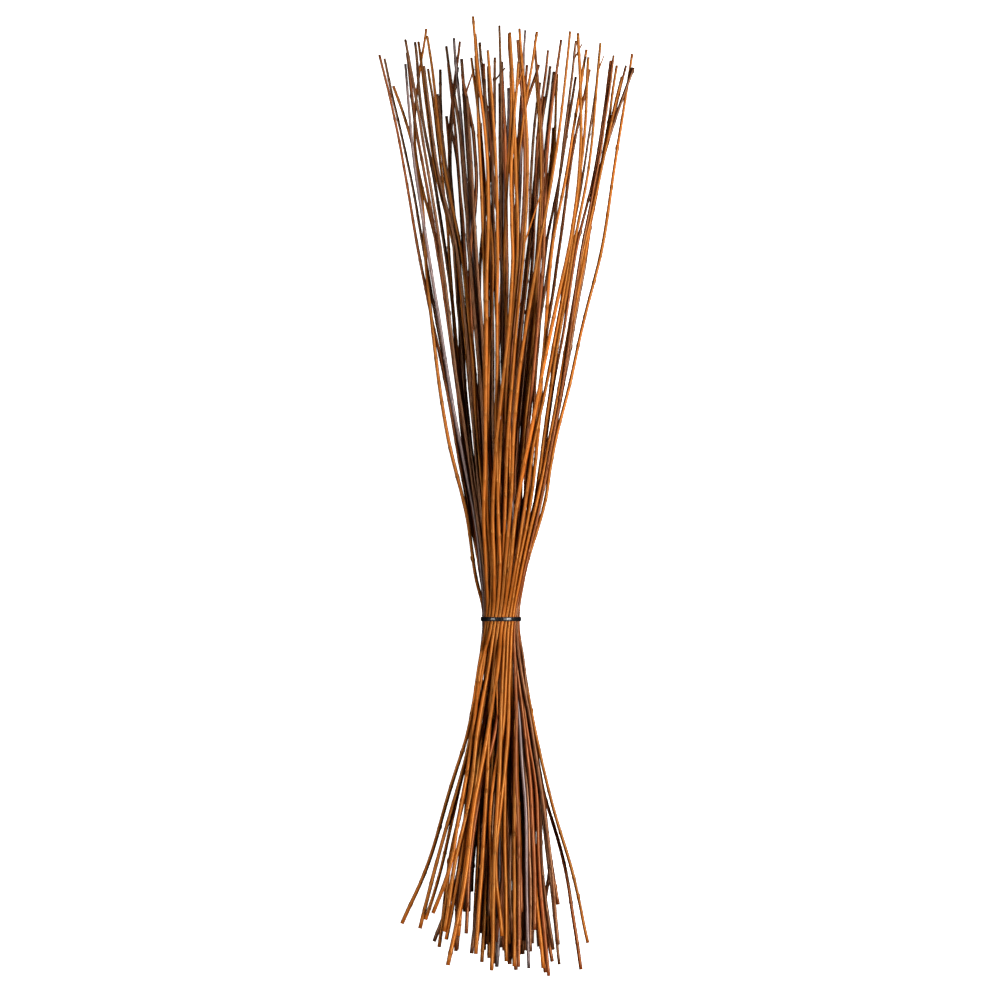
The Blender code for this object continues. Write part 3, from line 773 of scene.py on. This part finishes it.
def cut_wood():
    """Willow cut across with secateurs: pale matt wood with rings, a dark pith and the bark's dark edge."""
    name = "cut willow wood"
    if name in bpy.data.materials:
        return bpy.data.materials[name]
    finish = bpy.context.scene.bark_finish
    made, tree, shader = material(name, 0.75)
    grain = add_node(tree, "ShaderNodeAttribute", attribute_name="grain").outputs["Vector"]
    inputs = {0: grain, 1: (1.0, 1.0, 0.0)}
    flat = add_node(tree, "ShaderNodeVectorMath", inputs, operation="MULTIPLY").outputs["Vector"]
    out = add_node(tree, "ShaderNodeVectorMath", {0: flat}, operation="LENGTH").outputs["Value"]
    inputs = {"Value": out, "From Min": 0.3 * MM, "From Max": 0.5 * MM, "To Min": 1.0, "To Max": 0.0}
    pith = add_node(tree, "ShaderNodeMapRange", inputs).outputs["Result"]
    inputs = {"Value": out, "From Min": 1.35 * MM, "From Max": 1.55 * MM, "To Min": 0.0, "To Max": 1.0}
    edge = add_node(tree, "ShaderNodeMapRange", inputs).outputs["Result"]
    dark = add_node(tree, "ShaderNodeMath", {0: pith, 1: edge}, operation="MAXIMUM").outputs[0]
    inputs = {0: out, 1: 2 * pi / (0.4 * MM)}
    rings = add_node(tree, "ShaderNodeMath", inputs, operation="MULTIPLY").outputs[0]
    rings = add_node(tree, "ShaderNodeMath", {0: rings}, operation="SINE").outputs[0]
    inputs = {"Value": rings, "From Min": -1.0, "From Max": 1.0, "To Min": 0.0, "To Max": 0.3}
    shade = add_node(tree, "ShaderNodeMapRange", inputs).outputs["Result"]
    shade = add_node(tree, "ShaderNodeMath", {0: shade, 1: dark}, operation="MAXIMUM").outputs[0]
    inputs = {0: shade, 6: list(finish.wood), 7: list(finish.rind)}
    body = add_node(tree, "ShaderNodeMix", inputs, data_type="RGBA").outputs[2]
    tree.links.new(body, shader.inputs["Base Color"])
    return made


def black_nylon():
    """Nylon 6.6, moulded and coloured black: a smooth skin, softly shining, faintly mottled and scuffed."""
    made, tree, shader = material("moulded black nylon", 0.3)
    shader.inputs["Specular IOR Level"].default_value = 0.35
    place = add_node(tree, "ShaderNodeTexCoord").outputs["Object"]
    inputs = {"Vector": place, "Scale": 1 / (1.4 * MM), "Detail": 4.0}
    skin = add_node(tree, "ShaderNodeTexNoise", inputs).outputs["Fac"]
    inputs = {"Value": skin, "From Min": 0.3, "From Max": 0.7, "To Min": 0.2, "To Max": 0.38}
    rough = add_node(tree, "ShaderNodeMapRange", inputs).outputs["Result"]
    main = list(bpy.context.scene.tie_finish.nylon)
    worn = [value * 2.2 + 0.004 for value in main[:3]] + [1.0]
    inputs = {"Value": skin, "From Min": 0.55, "From Max": 0.75, "To Min": 0.0, "To Max": 0.5}
    scuff = add_node(tree, "ShaderNodeMapRange", inputs).outputs["Result"]
    body = add_node(tree, "ShaderNodeMix", {0: scuff, 6: main, 7: worn}, data_type="RGBA").outputs[2]
    tree.links.new(body, shader.inputs["Base Color"])
    tree.links.new(rough, shader.inputs["Roughness"])
    bump = add_node(tree, "ShaderNodeBump", {"Strength": 0.2, "Distance": 0.05 * MM, "Height": skin})
    tree.links.new(bump.outputs["Normal"], shader.inputs["Normal"])
    return made


def floor_finish():
    """Opal acrylic lit from below: almost white, matt, faintly uneven and bright enough to lose shadows."""
    look = bpy.context.scene.stage_look
    made, tree, shader = material("matt opal acrylic", 0.9)
    shader.inputs["Emission Color"].default_value = look.floor
    shader.inputs["Emission Strength"].default_value = look.glow
    place = add_node(tree, "ShaderNodeTexCoord").outputs["Object"]
    inputs = {"Vector": place, "Scale": 1 / (40 * MM), "Detail": 2.0}
    cloud = add_node(tree, "ShaderNodeTexNoise", inputs).outputs["Fac"]
    main = list(look.floor)
    dim = [value * 0.985 for value in main[:3]] + [1.0]
    body = add_node(tree, "ShaderNodeMix", {0: cloud, 6: main, 7: dim}, data_type="RGBA").outputs[2]
    tree.links.new(body, shader.inputs["Base Color"])
    return made


def tie_band(finish):
    """The band, drawn tight: round over each twig of the outer ring and straight from one to the next."""
    inner = TIE_OUTER - finish.thickness - RIM
    outer = inner + finish.thickness
    half, edge, soft = finish.width / 2, 0.4 * MM, 0.12 * MM
    below = [(inner, -half + soft), (inner + soft, -half), (outer - edge, -half),
             (outer - edge / 3, -half + edge / 3), (outer, -half + edge)]
    section = below + [(out, -down) for out, down in reversed(below)]
    size = len(section)
    bends = 5
    points = []
    for twig in range(RIM_COUNT):
        middle = 2 * pi * twig / RIM_COUNT
        for bend in range(bends):
            angle = middle + (bend / (bends - 1) - 0.5) * 2 * pi / RIM_COUNT
            for out, down in section:
                x = RIM * cos(middle) + out * cos(angle)
                z = RIM * sin(middle) + out * sin(angle)
                points.append((TIE.x + x, TIE.y + down, TIE.z + z))
    faces = []
    for start in range(0, len(points), size):
        after = (start + size) % len(points)
        for k in range(size):
            beside = (k + 1) % size
            faces.append((start + k, start + beside, after + beside, after + k))
    mesh = bpy.data.meshes.new("band")
    mesh.from_pydata(points, [], faces)
    return mesh


def tie_block(outline, width, finish, edge=0.0):
    """A slab whose outline is given outwards and sideways from the tie's middle, at the head's turn."""
    shape = bmesh.new()
    low, high = ([shape.verts.new((out, side, sideways)) for out, sideways in outline]
                 for side in (-width / 2, width / 2))
    shape.faces.new(low)
    shape.faces.new(reversed(high))
    for k in range(len(outline)):
        after = (k + 1) % len(outline)
        shape.faces.new((low[after], low[k], high[k], high[after]))
    if edge:
        bmesh.ops.bevel(shape, geom=shape.edges[:], offset=edge, segments=3, profile=0.5, affect="EDGES")
    bmesh.ops.recalc_face_normals(shape, faces=shape.faces)
    shape.transform(Matrix.Translation(TIE) @ Matrix.Rotation(pi / 2 + finish.turn, 4, "Y"))
    mesh = bpy.data.meshes.new("block")
    shape.to_mesh(mesh)
    shape.free()
    return mesh


class TWIGS_OT_outer(bpy.types.Operator):
    """Dress each solid twig as a round one with nodes, buds and cut ends"""

    bl_idname = "twigs.outer"
    bl_label = "Outer twigs"

    def execute(self, context):
        shape, fill = context.scene.twig_shape, context.scene.inner_twigs
        tree = twig_tree()
        slots = {part["node"]: part["material_slot"] for part in frame["record"]["subparts"]}
        lines = outer_lines(shape, fill.gap)
        for number, (name, line) in enumerate(zip(solid_names(), lines), start=1):
            rng = np.random.default_rng(1000 + number)
            knots = [place for twig, place in KNOTS if twig == number]
            chains = [twig_rings(line, shape, rng, knots)]
            chains += [shoot_rings(line, shoot) for shoot in SHOOTS if shoot[0] == number]
            look = Look(slots[name].removeprefix("bark_"), TONES.get(number, rng.normal(-0.1, 0.28)))
            twig = add_twig("willow_" + name, chains, look, number * GRAIN_STEP, tree, shape)
            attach(twig, "root")
            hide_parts(name)
        return {"FINISHED"}


class TWIGS_OT_inner(bpy.types.Operator):
    """Fill the bundle with the twigs that lie inside it"""

    bl_idname = "twigs.inner"
    bl_label = "Inner twigs"

    def execute(self, context):
        shape, fill = context.scene.twig_shape, context.scene.inner_twigs
        rng = np.random.default_rng(fill.seed)
        tree = twig_tree()
        lines = outer_lines(shape, fill.gap)
        places = free_places(lines)
        tops = hosts_for(places, lines, 400 * MM, 3)
        bottoms = hosts_for(places, lines, -200 * MM, 3)
        inner = [
            inner_start(place, lines[top], lines[bottom], rng, fill)
            for place, top, bottom in zip(places, tops, bottoms)
        ]
        inner = move_apart(inner, lines, fill.gap, turns=140, give=0.6)
        kinds = rng.choice(list(INNER_BARKS), len(inner), p=list(INNER_BARKS.values()))
        for number, (line, kind) in enumerate(zip(inner, kinds), start=1):
            look = Look(str(kind), rng.normal(-0.2, 0.3))
            chains = [twig_rings(line, shape, rng)]
            grain = INNER_GRAIN + number * GRAIN_STEP
            twig = add_twig(f"inner_twig_{number:02d}", chains, look, grain, tree, shape)
            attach(twig, "root")
        return {"FINISHED"}


class TWIGS_OT_tie(bpy.types.Operator):
    """Make the cable tie: its tight band, its ratchet head with the slot, and its toothed tail"""

    bl_idname = "twigs.tie"
    bl_label = "Cable tie"

    def execute(self, context):
        finish = context.scene.tie_finish
        near = TIE_OUTER - finish.thickness + HEAD_STANDS_OFF
        far = near + finish.head_depth
        half = finish.head_length / 2
        low = near + finish.head_depth / 2 - HEAD_STANDS_OFF
        high = low + finish.thickness
        reach = half + finish.tail
        teeth = []
        for tooth in range(1, int(reach / finish.tooth)):
            foot = tooth * finish.tooth
            teeth += [(high - TOOTH_DEPTH, foot), (high, foot + TOOTH_SLOPE)]
        head = [(near, -half), (near, half), (far, half), (far, -half)]
        under, over = low + SLOT_OUT, high + SLOT_OUT
        hole = [(under, -2 * half), (under, 0), (over, 0), (over, -2 * half)]
        tail = [(low, 0.0), (high, 0.0), *teeth, (high, reach), (low, reach)]
        steps = (
            ("head", "UNION", tie_block(head, finish.head_width, finish, HEAD_EDGE)),
            ("slot", "DIFFERENCE", tie_block(hole, finish.width + SLOT_WIDER, finish)),
            ("tail", "UNION", tie_block(tail, finish.width - TAIL_NARROWER, finish)),
        )
        tie = bpy.data.objects.new("nylon_tie", tie_band(finish))
        context.scene.collection.objects.link(tie)
        helpers = []
        for name, operation, mesh in steps:
            helpers.append(bpy.data.objects.new("tie " + name, mesh))
            context.scene.collection.objects.link(helpers[-1])
            step = tie.modifiers.new(name, "BOOLEAN")
            step.operation = operation
            step.object = helpers[-1]
        graph = context.evaluated_depsgraph_get()
        mesh = bpy.data.meshes.new_from_object(tie.evaluated_get(graph), depsgraph=graph)
        mesh.name = "nylon_tie"
        tie.modifiers.clear()
        tie.data = mesh
        for helper in helpers:
            bpy.data.objects.remove(helper)
        mesh.materials.clear()
        mesh.materials.append(black_nylon())
        mesh.shade_smooth()
        mesh.set_sharp_from_angle(angle=SHARP_FROM)
        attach(tie, "root")
        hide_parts("cable_tie")
        return {"FINISHED"}


class TWIGS_OT_stage(bpy.types.Operator):
    """Lay the floor, hang the lights and set up the camera straight above"""

    bl_idname = "twigs.stage"
    bl_label = "Floor, light and camera"

    def execute(self, context):
        look = context.scene.stage_look
        mesh = bpy.data.meshes.new("floor")
        half = FLOOR_HALF
        corners = [(-half, -half, 0), (half, -half, 0), (half, half, 0), (-half, half, 0)]
        mesh.from_pydata(corners, [], [(0, 1, 2, 3)])
        mesh.materials.append(floor_finish())
        floor = bpy.data.objects.new("floor", mesh)
        floor.location.z = -FLOOR_BELOW
        floor.visible_diffuse = False
        floor.visible_glossy = False
        context.scene.collection.objects.link(floor)
        world = bpy.data.worlds.new("studio")
        world.use_nodes = True
        tree = world.node_tree
        seen = add_node(tree, "ShaderNodeLightPath").outputs["Is Camera Ray"]
        way = add_node(tree, "ShaderNodeTexCoord").outputs["Generated"]
        rise = add_node(tree, "ShaderNodeSeparateXYZ", {"Vector": way}).outputs["Z"]
        inputs = {"Value": rise, "From Min": 0.0, "From Max": 0.2, "To Min": 0.0, "To Max": look.sky}
        above = add_node(tree, "ShaderNodeMapRange", inputs).outputs["Result"]
        strength = add_node(tree, "ShaderNodeMath", {0: above, 1: seen}, operation="MAXIMUM").outputs[0]
        tree.nodes["Background"].inputs["Color"].default_value = (1.0, 1.0, 1.0, 1.0)
        tree.links.new(strength, tree.nodes["Background"].inputs["Strength"])
        context.scene.world = world
        boxes = (("right", look.main_tilt, look.main), ("left", -look.fill_tilt, look.fill))
        for name, tilt, power in boxes:
            lamp = bpy.data.lights.new("softbox " + name, "AREA")
            lamp.shape = "DISK"
            lamp.size = SOFTBOX_WIDTH
            lamp.energy = power
            softbox = bpy.data.objects.new("softbox " + name, lamp)
            softbox.location = (SOFTBOX_AWAY * sin(tilt), 0.0, SOFTBOX_AWAY * cos(tilt))
            softbox.rotation_euler.y = tilt
            softbox.visible_camera = False
            context.scene.collection.objects.link(softbox)
        camera = bpy.data.cameras.new("camera")
        camera.lens = look.lens
        camera.sensor_width = SENSOR_WIDTH
        away = look.view_width * look.lens / SENSOR_WIDTH
        camera.clip_end = 4 * away
        viewer = bpy.data.objects.new("camera", camera)
        aside, along = PICTURE_MIDDLE
        viewer.location = (TIE.x + aside, TIE.y + along, TIE.z + away)
        context.scene.collection.objects.link(viewer)
        context.scene.camera = viewer
        context.scene.view_settings.view_transform = "Standard"
        return {"FINISHED"}


class TWIGS_PT_panel(bpy.types.Panel):
    """The bundle's pieces, each with its button"""

    bl_label = "Bundle of twigs"
    bl_space_type = "VIEW_3D"
    bl_region_type = "UI"
    bl_category = "Twigs"

    def draw(self, context):
        for operator in OPERATORS:
            self.layout.operator(operator.bl_idname)
        for name, group in SETTINGS.items():
            box = self.layout.box()
            for key in group.__annotations__:
                box.prop(getattr(context.scene, name), key)


SETTINGS = {
    "twig_shape": TwigShape,
    "inner_twigs": InnerTwigs,
    "bark_finish": BarkFinish,
    "tie_finish": TieFinish,
    "stage_look": StageLook,
}
OPERATORS = (TWIGS_OT_outer, TWIGS_OT_inner, TWIGS_OT_tie, TWIGS_OT_stage)


def register():
    for made in (*SETTINGS.values(), *OPERATORS, TWIGS_PT_panel):
        bpy.utils.register_class(made)
    for name, group in SETTINGS.items():
        setattr(bpy.types.Scene, name, bpy.props.PointerProperty(type=group))


def unregister():
    for name in SETTINGS:
        delattr(bpy.types.Scene, name)
    for made in reversed((*SETTINGS.values(), *OPERATORS, TWIGS_PT_panel)):
        bpy.utils.unregister_class(made)


def main():
    register()
    bpy.ops.twigs.outer()
    bpy.ops.twigs.inner()
    bpy.ops.twigs.tie()
    bpy.ops.twigs.stage()
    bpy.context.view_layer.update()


if __name__ == "__main__":
    main()
